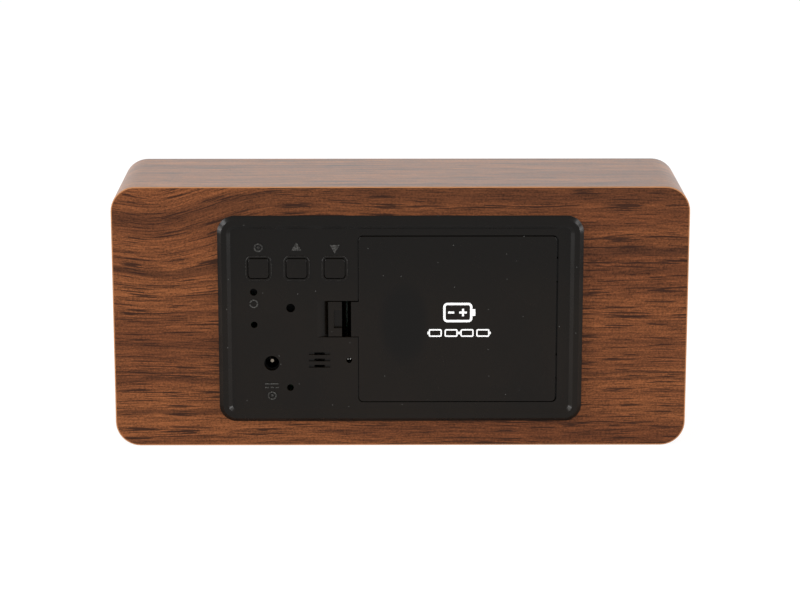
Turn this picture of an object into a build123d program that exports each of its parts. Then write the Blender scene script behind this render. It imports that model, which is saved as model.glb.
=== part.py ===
from build123d import *
import os
from math import cos, pi, sin, sqrt

# Digital desk clock: a film-wrapped wooden box with a black rear panel and a display behind the front film.
# X runs along the width, Y from the display at the front to the panel at the back, Z up from the underside.

# Case
case_width = 150.0
case_height = 69.5
case_depth = 40.0
case_corner = 6.5
film = 0.3
film_edge_round = 0.12
front_wall = 5.0
pocket_corner = 3.0

# Rim of the rear panel
rim_corner = 4.5
rim_proud = 1.2
rim_bevel = 1.05
rim_land = 2.4
rim_slope = 1.0
rim_inner_round = 0.2
field_drop = 0.8
rim_lap = 2.35
panel_drop = 0.45

# Rear panel plate
panel_thickness = 1.8
pocket_gap = 0.3
skirt_depth = 3.5
skirt_wall = 1.2
hook_reach = 1.4
hook_thickness = 1.5
hook_width = 6.0
hook_depth = 3.8
hook_gap = 0.4
hook_spacing = 24.0

# Battery cells
cell_diameter = 10.5
cell_length = 44.5
cell_count = 4
cell_gap = 0.2
cell_end_round = 0.8
nub_radius = 1.9
nub_height = 1.0
nub_round = 0.3
cell_air = 0.3
cell_side_air = 0.3
cell_floor_air = 0.1

# Battery tub and its contacts
tub_wall = 1.2
tub_floor = 1.5
contact_thickness = 0.4
contact_width = 8.0
contact_height = 9.0
contact_lift = 0.05
contact_corner = 1.0
contact_tail_width = 2.0
contact_tail_reach = 1.5
contact_tail_gap = 0.2
spring_length = 4.4
spring_wire = 0.55
spring_base_radius = 3.4
spring_tip_radius = 2.0
spring_turns = 3.5
spring_seat = 0.05
coil_apart_share = 0.6

# Battery cover
cover_thickness = 1.6
cover_proud = 0.2
cover_corner = 1.1
cover_edge_round = 0.2
cover_ledge_side = 0.6
cover_ledge_end = 0.9
cover_gap = 0.2
cover_hinge_gap = 0.4
cover_seat_gap = 0.05
cover_right_margin = 6.95
cover_top_margin = 5.4
tab_width = 6.0
tab_spacing = 26.0
tab_thickness = 0.9
tab_drop = 0.5
tab_reach = 1.7
tab_root = 0.6
tab_gap = 0.2
tab_swing_room = 1.6

# Cover latch
latch_rise = 0.1
latch_slot_length = 8.1
latch_slot_height = 9.8
latch_slit = 0.25
latch_root_length = 2.0
latch_leg = 1.2
latch_bend_radius = 1.2
latch_depth = 5.6
latch_hinge_gap = 0.15
latch_pad_gap = 0.15
latch_pad_depth = 2.0
latch_barb_depth = 4.2
latch_proud = 0.05
latch_notch_reach = 2.1
latch_notch_height = 4.85
latch_notch_depth = 1.0
latch_wall = 1.0
latch_wall_gap = 0.8
latch_wall_depth = 6.5
scoop_length = 2.7
scoop_depth = 1.2

# Control strip beside the cover: places count from the cover's edge and from the panel's middle
strip_width = 36.65
key_width = 5.3
key_height = 5.2
key_corner = 0.8
key_edge_round = 0.25
key_gap = 0.2
key_frame = 0.5
key_frame_raise = 0.35
key_frame_round = 0.2
key_proud = 0.45
key_pitch = 9.9
key_first = 6.2
key_rise = 13.75
key_flange = 0.8
key_flange_gap = 0.1
key_flange_lip = 0.6
key_stem_radius = 1.5
reset_from_cover = 27.35
reset_rise = 7.35
reset_hole = 0.95
spare_from_cover = 27.3
spare_rise = -1.4
spare_hole = 0.875
microphone_from_cover = 17.75
microphone_rise = 3.1
microphone_hole = 1.15
jack_from_cover = 22.8
jack_rise = -11.8
jack_hole = 2.0
lower_from_cover = 18.0
lower_rise = -18.4
lower_hole = 0.9
sensor_from_cover = 2.55
sensor_rise = -11.0
sensor_hole = 0.75
louvre_from_cover = 10.3
louvre_rise = -10.9
louvre_count = 3
louvre_pitch = 1.7
louvre_length = 5.6
louvre_opening = 2.7
louvre_width = 0.75
louvre_groove = 0.5

# Raised marks moulded beside the keys and sockets
mark_raise = 0.25
mark_height = 2.3
mark_line = 0.35
mark_rise = 5.5
reset_mark_drop = 3.05
jack_mark_drop = 6.0
jack_mark_pitch = 2.7
jack_mark_length = 3.6
mark_gap = 0.5
mark_dash_share = 0.24

# Control board
board_thickness = 1.6
board_post = 8.7
board_edge_gap = 0.4
board_tub_gap = 1.4
board_end_gap = 0.75
board_corner = 1.0
board_screw_inset = 2.7
board_post_radius = 2.2
small_screw_radius = 0.95
small_screw_length = 6.0
small_head_radius = 1.7
small_head_height = 1.2
screw_gap = 0.05
screw_pass_gap = 0.2
screw_pilot_spare = 0.5
head_round = 0.4
cross_length_share = 0.6
cross_width_share = 0.16
cross_depth_share = 0.5

# Switches behind the keys
switch_width = 6.0
switch_height = 3.4
switch_corner = 0.5
plunger_radius = 1.65
plunger_bore_gap = 0.15
plunger_rise = 1.6
plunger_foot = 0.8
plunger_bore_depth = 1.6
reset_switch_height = 3.5
reset_plunger_radius = 1.1
reset_plunger_rise = 3.6

# Power socket
jack_width = 7.5
jack_height = 9.0
jack_top_gap = 0.3
jack_bore = 1.8
jack_bore_floor = 1.4
jack_pin_radius = 0.65
jack_pin_drop = 0.6
jack_pin_round = 0.3
jack_contact_width = 2.4
jack_contact_thickness = 0.3
jack_contact_gap = 0.25
jack_contact_drop = 1.6
jack_edge_round = 0.4

# Sound, speech and temperature
buzzer_radius = 4.5
buzzer_height = 4.5
buzzer_port = 1.0
buzzer_port_depth = 1.5
buzzer_round = 0.4
microphone_radius = 3.0
microphone_body = 2.8
microphone_top_gap = 0.3
microphone_leg_radius = 0.22
microphone_leg_spacing = 2.5
holder_gap = 0.2
holder_wall = 0.9
holder_depth = 3.0
bead_radius = 0.95
bead_length = 2.2
bead_drop = 2.6
bead_round = 0.3
sensor_leg_radius = 0.22
sensor_leg_spacing = 0.66
sensor_tip_drop = 1.3
sensor_tip_round = 0.15

# Parts on the front side of the control board
controller_width = 9.0
controller_height = 7.0
controller_thickness = 1.6
controller_from_cover = 12.0
controller_rise = 8.0
crystal_radius = 1.5
crystal_length = 8.0
crystal_round = 0.4
crystal_from_cover = 8.0
crystal_rise = -9.0
capacitor_radius = 3.15
capacitor_clearance = 4.9
capacitor_round = 0.5
capacitor_from_cover = 24.0
capacitor_rise = -12.5

# Display
display_reflector_depth = 8.0
digit_width = 12.5
digit_height = 22.0
digit_stroke = 2.6
digit_gap = 0.35
digit_pitch = 17.0
colon_radius = 1.3
colon_place = 4.4
reflector_side_margin = 3.25
reflector_end_margin = 3.0
reflector_gap = 0.2
lens_depth = 6.5
chip_width = 1.6
chip_height = 0.8
chip_thickness = 0.8
display_board_gap = 3.2
display_board_side_margin = 4.0
display_board_end_margin = 2.4
display_screw_inset = 1.9
display_screw_length = 5.0
driver_width = 10.0
driver_height = 6.0
driver_thickness = 1.7

# Display chassis
board_standoff = 2.5
chassis_plate = 2.0
chassis_gap = 1.2
chassis_corner = 2.0
chassis_boss_radius = 1.9
leg_inset = 4.0
leg_radius = 2.8
wood_screw_radius = 1.2
wood_screw_grip = 4.0
wood_head_radius = 2.4
wood_head_height = 1.5
chassis_post_radius = 3.2
panel_screw_place_share = 0.3
panel_screw_radius = 1.25
panel_screw_end_gap = 2.9
panel_head_radius = 2.25
panel_head_height = 1.4
panel_head_sink = 0.8
panel_head_gap = 0.25
tub_boss_radius = 3.75
tub_boss_drop = 2.5

# Ribbon and leads
header_width = 12.5
header_height = 4.0
header_gap = 0.75
header_from_cover = 16.1
header_rise = 12.4
header_step = 14.0
ribbon_width = 11.0
ribbon_thickness = 0.7
ribbon_room = 6.4
ribbon_bend = 1.35
lead_radius = 0.5
lead_drop = 3.5
lead_run = 4.5
lead_slope = 3.3
lead_landing = 5.0
lead_bends = (4.3, 3.9)
lead_start_gap = 0.1

# Cuts run past the faces that they open by this much
overrun = 1.0

# Segments that each figure lights, lettered from the top one clockwise, with the middle one last
figure_segments = {"0": "abcdef", "1": "bc", "8": "abcdefg"}
shown_time = "1008"

# Heights and widths worked out from the sizes above
case_mid_z = case_height / 2
panel_mid_z = case_mid_z - panel_drop
core_width = case_width - 2 * film
core_height = case_height - 2 * film
core_corner = case_corner - film
cell_pitch = cell_diameter + cell_gap
tub_height = cell_count * cell_pitch - cell_gap + 2 * cell_side_air
tub_length = cell_length + 2 * contact_thickness + spring_length
cover_width = tub_length + 2 * cover_ledge_end
cover_height = tub_height + 2 * cover_ledge_side
rim_width = cover_right_margin + cover_width + strip_width
rim_height = cover_height + 2 * cover_top_margin
cover_mid_x = cover_right_margin + cover_width / 2 - rim_width / 2
strip_x = cover_mid_x + cover_width / 2
pocket_width = rim_width - 2 * rim_lap
pocket_height = rim_height - 2 * rim_lap
plug_width = pocket_width - 2 * pocket_gap
plug_height = pocket_height - 2 * pocket_gap
plug_corner = pocket_corner - pocket_gap
tub_end_x = cover_mid_x + tub_length / 2

# Depths worked out from the sizes above, from the back to the front
overall_depth = case_depth + rim_proud
y_rim = overall_depth / 2
y_back = y_rim - rim_proud
y_front = y_back - case_depth
y_film = y_front + film
y_wall = y_film + front_wall
y_field = y_rim - field_drop
y_under = y_field - panel_thickness
y_cover = y_field + cover_proud
y_cover_in = y_cover - cover_thickness
y_cell = y_cover_in - cell_air - cell_diameter / 2
y_floor = y_cell - cell_diameter / 2 - cell_floor_air
y_tub = y_floor - tub_floor
y_tub_boss = y_tub - tub_boss_drop
y_head_seat = y_floor - panel_head_sink
y_control = y_under - board_post
y_control_front = y_control - board_thickness
y_led_board = y_film + display_reflector_depth
y_led_board_back = y_led_board + board_thickness
y_chassis = y_led_board_back + board_standoff
y_chassis_back = y_chassis + chassis_plate
y_screw_end = y_chassis_back + panel_screw_end_gap
panel_screw_length = y_head_seat - y_screw_end
header_length = (y_control_front - y_led_board_back - ribbon_room) / 2
capacitor_length = y_control_front - y_chassis_back - capacitor_clearance

# Places on the control strip
key_places = {
    "set": (strip_x + key_first + 2 * key_pitch, panel_mid_z + key_rise),
    "up": (strip_x + key_first + key_pitch, panel_mid_z + key_rise),
    "down": (strip_x + key_first, panel_mid_z + key_rise),
}
reset_place = (strip_x + reset_from_cover, panel_mid_z + reset_rise)
spare_place = (strip_x + spare_from_cover, panel_mid_z + spare_rise)
microphone_place = (strip_x + microphone_from_cover, panel_mid_z + microphone_rise)
jack_place = (strip_x + jack_from_cover, panel_mid_z + jack_rise)
lower_place = (strip_x + lower_from_cover, panel_mid_z + lower_rise)
sensor_place = (strip_x + sensor_from_cover, panel_mid_z + sensor_rise)
louvre_mid = (strip_x + louvre_from_cover, panel_mid_z + louvre_rise)
louvre_rows = [row - (louvre_count - 1) / 2 for row in range(louvre_count)]
louvre_places = [(louvre_mid[0], louvre_mid[1] + row * louvre_pitch) for row in louvre_rows]

# Places of the latch
latch_z = panel_mid_z + latch_rise
latch_tongue_height = latch_slot_height - 2 * latch_slit
latch_slot_x = strip_x + latch_slot_length
latch_leg_x = strip_x + latch_root_length
latch_axis_x = latch_leg_x + latch_bend_radius
latch_tongue_x = latch_axis_x + latch_bend_radius
latch_bend_outer = latch_bend_radius + latch_leg
y_bend = y_field - latch_depth

# Places of the cells, numbered from the lowest: the first and third point their nubs to -X, the others to +X
cell_numbers = range(cell_count)
cell_heights = [panel_mid_z + (number - (cell_count - 1) / 2) * cell_pitch for number in cell_numbers]
cell_ways = [-1 if number % 2 == 0 else 1 for number in cell_numbers]

# Places of the screws
corner_ways = [(side, level) for side in (-1, 1) for level in (-1, 1)]
panel_screw_places = [
    (cover_mid_x + side * panel_screw_place_share * cover_width, panel_mid_z) for side in (-1, 1)
]
board_left = tub_end_x + tub_wall + board_tub_gap
board_right = plug_width / 2 - skirt_wall - board_edge_gap
board_width = board_right - board_left
board_height = plug_height - 2 * (skirt_wall + board_end_gap)
board_mid_x = (board_left + board_right) / 2
board_screw_out = board_width / 2 - board_screw_inset
board_screw_up = board_height / 2 - board_screw_inset
board_screw_places = [
    (board_mid_x + side * board_screw_out, panel_mid_z + level * board_screw_up)
    for side, level in corner_ways
]
display_board_width = pocket_width - 2 * display_board_gap
reflector_width = display_board_width - 2 * display_board_side_margin
reflector_height = digit_height + 2 * reflector_end_margin
display_board_height = reflector_height + 2 * display_board_end_margin
digit_pair_place = (reflector_width - digit_width - digit_pitch) / 2 - reflector_side_margin
display_screw_out = display_board_width / 2 - display_screw_inset
display_screw_up = display_board_height / 2 - display_screw_inset
display_screw_places = [
    (side * display_screw_out, case_mid_z + level * display_screw_up) for side, level in corner_ways
]
chassis_width = pocket_width - 2 * chassis_gap
chassis_height = pocket_height - 2 * chassis_gap
leg_out = chassis_width / 2 - leg_inset
leg_up = chassis_height / 2 - leg_inset
leg_places = [(side * leg_out, panel_mid_z + level * leg_up) for side, level in corner_ways]
header_mid = (strip_x + header_from_cover, panel_mid_z + header_rise)
control_header_mid = (header_mid[0], header_mid[1] - header_step)


def facing(y):
    """Plane across the clock at depth y: right is +X, up is +Z, and extrusions run frontwards."""
    return Plane.XZ.offset(-y)


def block(y, depth, width, height, x=0, z=0, corner=0, mode=Mode.ADD):
    """Slab whose rear face is at depth y, with rounded corners where a corner radius is given."""
    with BuildSketch(facing(y)) as outline:
        with Locations((x, z)):
            if corner > 0:
                RectangleRounded(width, height, corner)
            else:
                Rectangle(width, height)
    extrude(outline.sketch, amount=depth, mode=mode)


def rods(y, depth, radius, places, mode=Mode.ADD):
    """Round bars along Y, one at each place, with their rear faces at depth y."""
    with BuildSketch(facing(y)) as outline:
        with Locations(*places):
            Circle(radius)
    extrude(outline.sketch, amount=depth, mode=mode)


def pan_screws(y_seat, way, places, head_radius, head_height, shank_radius, shank_length):
    """Pan-head screws with a crossed recess; way is 1 where the heads look backwards and -1 frontwards."""
    y_head = y_seat + max(way, 0) * head_height
    rods(y_head, head_height, head_radius, places)
    y_top = y_seat + way * head_height
    fillet(edges().filter_by(GeomType.CIRCLE).group_by(Axis.Y)[-1 if way > 0 else 0], head_round)
    rods(y_seat + max(-way, 0) * shank_length, shank_length, shank_radius, places)
    with BuildSketch(facing(y_top)) as recess:
        with Locations(*places):
            Rectangle(2 * head_radius * cross_length_share, 2 * head_radius * cross_width_share)
            Rectangle(2 * head_radius * cross_width_share, 2 * head_radius * cross_length_share)
    extrude(recess.sketch, amount=way * head_height * cross_depth_share, mode=Mode.SUBTRACT)


def draw_ring(outer, width):
    """Ring of a given line width at each place of the open Locations block."""
    Circle(outer)
    Circle(outer - width, mode=Mode.SUBTRACT)


segment_reach_x = (digit_width - digit_stroke) / 2
segment_reach_z = (digit_height - digit_stroke) / 2
segment_places = {
    "a": (0, segment_reach_z),
    "b": (segment_reach_x, segment_reach_z / 2),
    "c": (segment_reach_x, -segment_reach_z / 2),
    "d": (0, -segment_reach_z),
    "e": (-segment_reach_x, -segment_reach_z / 2),
    "f": (-segment_reach_x, segment_reach_z / 2),
    "g": (0, 0),
}
digit_places = [
    -digit_pair_place - digit_pitch / 2,
    -digit_pair_place + digit_pitch / 2,
    digit_pair_place - digit_pitch / 2,
    digit_pair_place + digit_pitch / 2,
]
colon_places = [(0, case_mid_z - colon_place), (0, case_mid_z + colon_place)]


def draw_segments(x, letters):
    """Six-sided bars of one figure, in the open sketch: level ones lie across, the others stand."""
    tip = digit_stroke / 2
    for letter in letters:
        dx, dz = segment_places[letter]
        stands = dx != 0
        half = (segment_reach_z / 2 if stands else segment_reach_x) - digit_gap
        upper = [(-half, 0), (tip - half, tip), (half - tip, tip)]
        lower = [(half, 0), (half - tip, -tip), (tip - half, -tip)]
        with Locations((x + dx, case_mid_z + dz)):
            Polygon(*upper, *lower, rotation=90 if stands else 0)


def draw_display(figures):
    """All four figures and the colon, in the open sketch."""
    for x, figure in zip(digit_places, figures):
        draw_segments(x, figure_segments[figure])
    with Locations(*colon_places):
        Circle(colon_radius)


# Wooden case: a milled block, a film wrapped round its four sides, and sheets of film on its front and back
hook_heights = [panel_mid_z + side * hook_spacing / 2 for side in (-1, 1)]
y_hook = y_under - hook_depth + hook_thickness
with BuildPart() as case_core:
    block(y_back - film, case_depth - 2 * film, core_width, core_height, z=case_mid_z, corner=core_corner)
    block(
        y_back,
        y_back - y_wall,
        pocket_width,
        pocket_height,
        z=panel_mid_z,
        corner=pocket_corner,
        mode=Mode.SUBTRACT,
    )
    block(
        y_wall + overrun,
        front_wall + 2 * overrun,
        reflector_width + 2 * reflector_gap,
        reflector_height + 2 * reflector_gap,
        z=case_mid_z,
        mode=Mode.SUBTRACT,
    )
    rods(
        y_wall + overrun,
        overrun + wood_screw_grip + screw_pilot_spare,
        wood_screw_radius + screw_gap,
        leg_places,
        mode=Mode.SUBTRACT,
    )
    for height in hook_heights:
        block(
            y_hook + hook_gap,
            hook_thickness + 2 * hook_gap,
            2 * (hook_reach + hook_gap),
            hook_width + 2 * hook_gap,
            x=plug_width / 2,
            z=height,
            mode=Mode.SUBTRACT,
        )

with BuildPart() as side_wrap:
    block(y_back, case_depth, case_width, case_height, z=case_mid_z, corner=case_corner)
    brims = faces().filter_by(Axis.Y)
    fillet(brims.edges(), film_edge_round)
    block(
        y_back + overrun,
        case_depth + 2 * overrun,
        core_width,
        core_height,
        z=case_mid_z,
        corner=core_corner,
        mode=Mode.SUBTRACT,
    )

with BuildPart() as rear_veneer:
    block(y_back, film, core_width, core_height, z=case_mid_z, corner=core_corner)
    block(
        y_back + overrun,
        film + 2 * overrun,
        pocket_width,
        pocket_height,
        z=panel_mid_z,
        corner=pocket_corner,
        mode=Mode.SUBTRACT,
    )

with BuildPart() as front_veneer:
    block(y_film, film, core_width, core_height, z=case_mid_z, corner=core_corner)
    with BuildSketch(facing(y_film + overrun)):
        draw_display(shown_time)
    extrude(amount=film + 2 * overrun, mode=Mode.SUBTRACT)

# Places of the front film that glow
with BuildPart() as lit_digits:
    with BuildSketch(facing(y_film)):
        draw_display(shown_time)
    extrude(amount=film)

# Display block: a reflector with a cell for each segment, its clear filling, and a light-emitting chip
with BuildPart() as display_reflector:
    block(y_led_board, display_reflector_depth, reflector_width, reflector_height, z=case_mid_z)
    with BuildSketch(facing(y_led_board + overrun)):
        draw_display("8888")
    extrude(amount=display_reflector_depth + 2 * overrun, mode=Mode.SUBTRACT)

with BuildPart() as segment_lenses:
    with BuildSketch(facing(y_film + lens_depth)):
        draw_display("8888")
    extrude(amount=lens_depth)

chip_places = [(x + dx, case_mid_z + dz) for x in digit_places for dx, dz in segment_places.values()]
with BuildPart() as segment_leds:
    with BuildSketch(facing(y_led_board)):
        with Locations(*chip_places, *colon_places):
            Rectangle(chip_width, chip_height)
    extrude(amount=chip_thickness)

with BuildPart() as display_board:
    block(
        y_led_board_back,
        board_thickness,
        display_board_width,
        display_board_height,
        z=case_mid_z,
        corner=board_corner,
    )
    rods(
        y_led_board_back + overrun,
        board_thickness + 2 * overrun,
        small_screw_radius + screw_pass_gap,
        display_screw_places,
        mode=Mode.SUBTRACT,
    )

with BuildPart() as display_driver:
    block(y_led_board_back + driver_thickness, driver_thickness, driver_width, driver_height, z=case_mid_z)

with BuildPart() as display_screws:
    pan_screws(
        y_led_board,
        -1,
        display_screw_places,
        small_head_radius,
        small_head_height,
        small_screw_radius,
        display_screw_length,
    )

# Chassis that carries the display in the case and takes the rear panel's screws
with BuildPart() as display_chassis:
    block(y_chassis_back, chassis_plate, chassis_width, chassis_height, z=panel_mid_z, corner=chassis_corner)
    rods(y_chassis, board_standoff, chassis_boss_radius, display_screw_places)
    rods(y_chassis, y_chassis - y_wall, leg_radius, leg_places)
    rods(y_tub_boss, y_tub_boss - y_chassis_back, chassis_post_radius, panel_screw_places)
    rods(
        y_led_board_back + display_screw_length - board_thickness + screw_pilot_spare,
        display_screw_length,
        small_screw_radius + screw_gap,
        display_screw_places,
        mode=Mode.SUBTRACT,
    )
    rods(
        y_chassis_back + overrun,
        y_chassis_back - y_wall + 2 * overrun,
        wood_screw_radius + screw_gap,
        leg_places,
        mode=Mode.SUBTRACT,
    )
    rods(
        y_tub_boss + overrun,
        y_tub_boss + overrun - y_screw_end + screw_pilot_spare,
        panel_screw_radius + screw_gap,
        panel_screw_places,
        mode=Mode.SUBTRACT,
    )
    block(
        y_chassis_back + overrun,
        chassis_plate + 2 * overrun,
        header_width + 2 * header_gap,
        header_height + 2 * header_gap,
        x=header_mid[0],
        z=header_mid[1],
        mode=Mode.SUBTRACT,
    )

wood_screw_length = y_chassis_back - y_wall + wood_screw_grip
with BuildPart() as chassis_screws:
    pan_screws(
        y_chassis_back,
        1,
        leg_places,
        wood_head_radius,
        wood_head_height,
        wood_screw_radius,
        wood_screw_length,
    )

# Rear panel: rim, sunk field, skirt, hooks, battery tub, key windows, holes, louvres and posts in one
y_tab = y_cover_in - tab_drop
latch_shaft_height = latch_slot_height + 2 * latch_wall
louvre_cut = y_rim - y_field + louvre_groove
through_cut = y_rim - y_under + overrun
field_inset = rim_land + rim_slope
field_corner = rim_corner - field_inset
with BuildPart() as rear_panel:
    block(y_rim, rim_proud, rim_width, rim_height, z=panel_mid_z, corner=rim_corner)
    chamfer(faces().sort_by(Axis.Y)[-1].outer_wire().edges(), rim_bevel)
    with BuildSketch(facing(y_rim)):
        with Locations((0, panel_mid_z)):
            RectangleRounded(rim_width - 2 * rim_land, rim_height - 2 * rim_land, rim_corner - rim_land)
    with BuildSketch(facing(y_field)):
        with Locations((0, panel_mid_z)):
            RectangleRounded(rim_width - 2 * field_inset, rim_height - 2 * field_inset, field_corner)
    loft(ruled=True, mode=Mode.SUBTRACT)
    fillet(faces().sort_by(Axis.Y)[-1].inner_wires().edges(), rim_inner_round)
    block(y_back, y_back - y_under, plug_width, plug_height, z=panel_mid_z, corner=plug_corner)
    block(y_under, skirt_depth, plug_width, plug_height, z=panel_mid_z, corner=plug_corner)
    block(
        y_under,
        skirt_depth,
        plug_width - 2 * skirt_wall,
        plug_height - 2 * skirt_wall,
        z=panel_mid_z,
        corner=plug_corner - skirt_wall,
        mode=Mode.SUBTRACT,
    )
    for height in hook_heights:
        block(y_under, hook_depth, skirt_wall, hook_width, x=(plug_width - skirt_wall) / 2, z=height)
        block(y_hook, hook_thickness, hook_reach, hook_width, x=(plug_width + hook_reach) / 2, z=height)
    block(
        y_under,
        y_under - y_tub,
        tub_length + 2 * tub_wall,
        tub_height + 2 * tub_wall,
        x=cover_mid_x,
        z=panel_mid_z,
        corner=tub_wall,
    )
    rods(y_tub, tub_boss_drop, tub_boss_radius, panel_screw_places)
    block(y_rim, y_rim - y_floor, tub_length, tub_height, x=cover_mid_x, z=panel_mid_z, mode=Mode.SUBTRACT)
    block(
        y_rim,
        y_rim - y_cover_in + cover_seat_gap,
        cover_width + cover_gap + cover_hinge_gap,
        cover_height + 2 * cover_gap,
        x=cover_mid_x + (cover_gap - cover_hinge_gap) / 2,
        z=panel_mid_z,
        corner=cover_corner + cover_gap,
        mode=Mode.SUBTRACT,
    )
    rods(
        y_floor + overrun,
        panel_head_sink + overrun,
        panel_head_radius + panel_head_gap,
        panel_screw_places,
        mode=Mode.SUBTRACT,
    )
    rods(
        y_head_seat + overrun,
        y_head_seat - y_tub_boss + 2 * overrun,
        panel_screw_radius + screw_pass_gap,
        panel_screw_places,
        mode=Mode.SUBTRACT,
    )
    for side in (-1, 1):
        block(
            y_tab + tab_thickness + tab_gap,
            tab_thickness + tab_gap + tab_swing_room,
            tab_reach + tab_gap + cover_hinge_gap + cover_ledge_end,
            tab_width + 2 * cover_hinge_gap,
            x=cover_mid_x - cover_width / 2 + (cover_ledge_end - tab_reach - tab_gap - cover_hinge_gap) / 2,
            z=panel_mid_z + side * tab_spacing / 2,
            mode=Mode.SUBTRACT,
        )

    # Latch slot, its shaft and the finger scoop beside it
    block(
        y_under,
        latch_wall_depth,
        latch_slot_length + latch_wall_gap + latch_wall,
        latch_shaft_height,
        x=strip_x + (latch_slot_length + latch_wall_gap + latch_wall) / 2,
        z=latch_z,
    )
    block(
        y_under,
        latch_wall_depth + overrun,
        latch_slot_x + latch_wall_gap - tub_end_x - tub_wall,
        latch_slot_height,
        x=(latch_slot_x + latch_wall_gap + tub_end_x + tub_wall) / 2,
        z=latch_z,
        mode=Mode.SUBTRACT,
    )
    block(
        y_rim,
        through_cut,
        latch_slot_x - tub_end_x - tub_wall,
        latch_slot_height,
        x=(latch_slot_x + tub_end_x + tub_wall) / 2,
        z=latch_z,
        mode=Mode.SUBTRACT,
    )
    block(
        y_rim,
        y_rim - y_cover_in + cover_seat_gap,
        tub_wall + cover_ledge_end,
        latch_slot_height,
        x=strip_x,
        z=latch_z,
        mode=Mode.SUBTRACT,
    )
    with BuildSketch(Plane.XY.offset(latch_z - latch_slot_height / 2)):
        Polygon(
            (latch_slot_x, y_field - scoop_depth),
            (latch_slot_x + scoop_length, y_field),
            (latch_slot_x + scoop_length, y_rim),
            (latch_slot_x, y_rim),
            align=None,
        )
    extrude(amount=latch_slot_height, mode=Mode.SUBTRACT)

    # Key windows with raised frames
    window_width = key_width + 2 * key_gap
    window_height = key_height + 2 * key_gap
    window_corner = key_corner + key_gap
    for x, z in key_places.values():
        with BuildSketch(facing(y_field)):
            with Locations((x, z)):
                RectangleRounded(
                    window_width + 2 * key_frame,
                    window_height + 2 * key_frame,
                    window_corner + key_frame,
                )
        extrude(amount=-key_frame_raise)
        fillet(edges(Select.LAST).group_by(Axis.Y)[-1], key_frame_round)
        block(
            y_rim,
            through_cut,
            window_width,
            window_height,
            x=x,
            z=z,
            corner=window_corner,
            mode=Mode.SUBTRACT,
        )

    # Round holes and sound louvres
    for radius, place in (
        (reset_hole, reset_place),
        (spare_hole, spare_place),
        (microphone_hole, microphone_place),
        (jack_hole, jack_place),
        (lower_hole, lower_place),
        (sensor_hole, sensor_place),
    ):
        rods(y_rim, through_cut, radius, [place], mode=Mode.SUBTRACT)
    for x, z in louvre_places:
        block(y_rim, louvre_cut, louvre_length, louvre_width, x=x, z=z, mode=Mode.SUBTRACT)
        block(y_rim, through_cut, louvre_opening, louvre_width, x=x, z=z, mode=Mode.SUBTRACT)

    # Posts for the control board and a ring that holds the microphone
    rods(y_under, board_post, board_post_radius, board_screw_places)
    rods(
        y_control + small_screw_length - board_thickness + screw_pilot_spare,
        small_screw_length,
        small_screw_radius + screw_gap,
        board_screw_places,
        mode=Mode.SUBTRACT,
    )
    with BuildSketch(facing(y_under)):
        with Locations(microphone_place):
            draw_ring(microphone_radius + holder_gap + holder_wall, holder_wall)
    extrude(amount=holder_depth)

    # Slots in the tub floor for the end contacts' tails
    for height in (cell_heights[0], cell_heights[-1]):
        block(
            y_floor + overrun,
            tub_floor + 2 * overrun,
            contact_thickness + contact_tail_gap,
            contact_tail_width + 2 * contact_tail_gap,
            x=tub_end_x - (contact_thickness + contact_tail_gap) / 2,
            z=height,
            mode=Mode.SUBTRACT,
        )

    # Raised marks: ringed dot to set, pointers up and down, broken ring to reset, direct current at socket
    with BuildSketch(facing(y_field)):
        with Locations((key_places["set"][0], key_places["set"][1] + mark_rise)):
            draw_ring(mark_height / 2, mark_line)
            Circle(mark_line)
        for name, turn in (("up", 0), ("down", 180)):
            with Locations((key_places[name][0], key_places[name][1] + mark_rise)):
                RegularPolygon(2 * mark_height / 3, 3, rotation=turn + 90)
        with Locations((reset_place[0], reset_place[1] - reset_mark_drop)):
            draw_ring(mark_height / 2, mark_line)
            with Locations((mark_height / 2, 0)):
                Rectangle(mark_height / 2, mark_gap, mode=Mode.SUBTRACT)
        with Locations((jack_place[0], jack_place[1] - jack_mark_drop)):
            with Locations((0, mark_gap)):
                Rectangle(jack_mark_length, mark_line)
            with Locations((0, -mark_gap)):
                with GridLocations((1 - mark_dash_share) * jack_mark_length / 2, 0, 3, 1):
                    Rectangle(mark_dash_share * jack_mark_length, mark_line)
        with Locations((jack_place[0], jack_place[1] - jack_mark_drop - jack_mark_pitch)):
            draw_ring(mark_height / 2, mark_line)
            Circle(mark_line)
    extrude(amount=-mark_raise)

with BuildPart() as panel_screws:
    pan_screws(
        y_head_seat,
        1,
        panel_screw_places,
        panel_head_radius,
        panel_head_height,
        panel_screw_radius,
        panel_screw_length,
    )

# Battery cover: plate, two tabs on the hinge edge, and the latch's root leg with half of its bend
with BuildPart() as battery_cover:
    block(
        y_cover,
        cover_thickness,
        cover_width,
        cover_height,
        x=cover_mid_x,
        z=panel_mid_z,
        corner=cover_corner,
    )
    fillet(faces().sort_by(Axis.Y)[-1].outer_wire().edges(), cover_edge_round)
    for side in (-1, 1):
        block(
            y_tab + tab_thickness,
            tab_thickness,
            tab_reach + tab_root,
            tab_width,
            x=cover_mid_x - cover_width / 2 + (tab_root - tab_reach) / 2,
            z=panel_mid_z + side * tab_spacing / 2,
        )
    block(
        y_cover,
        cover_thickness,
        latch_root_length + cover_corner,
        latch_tongue_height,
        x=strip_x + (latch_root_length - cover_corner) / 2,
        z=latch_z,
    )
    with BuildSketch(Plane.XY.offset(latch_z - latch_tongue_height / 2)):
        with Locations((latch_axis_x, y_bend)):
            draw_ring(latch_bend_outer, latch_leg)
        with Locations((latch_axis_x - latch_hinge_gap, y_bend)):
            Rectangle(latch_bend_outer, latch_bend_outer, align=(Align.MAX, Align.MAX), mode=Mode.INTERSECT)
        with Locations((latch_leg_x, y_bend)):
            Rectangle(latch_leg, y_cover_in - y_bend, align=(Align.MAX, Align.MIN))
    extrude(amount=latch_tongue_height)

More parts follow.
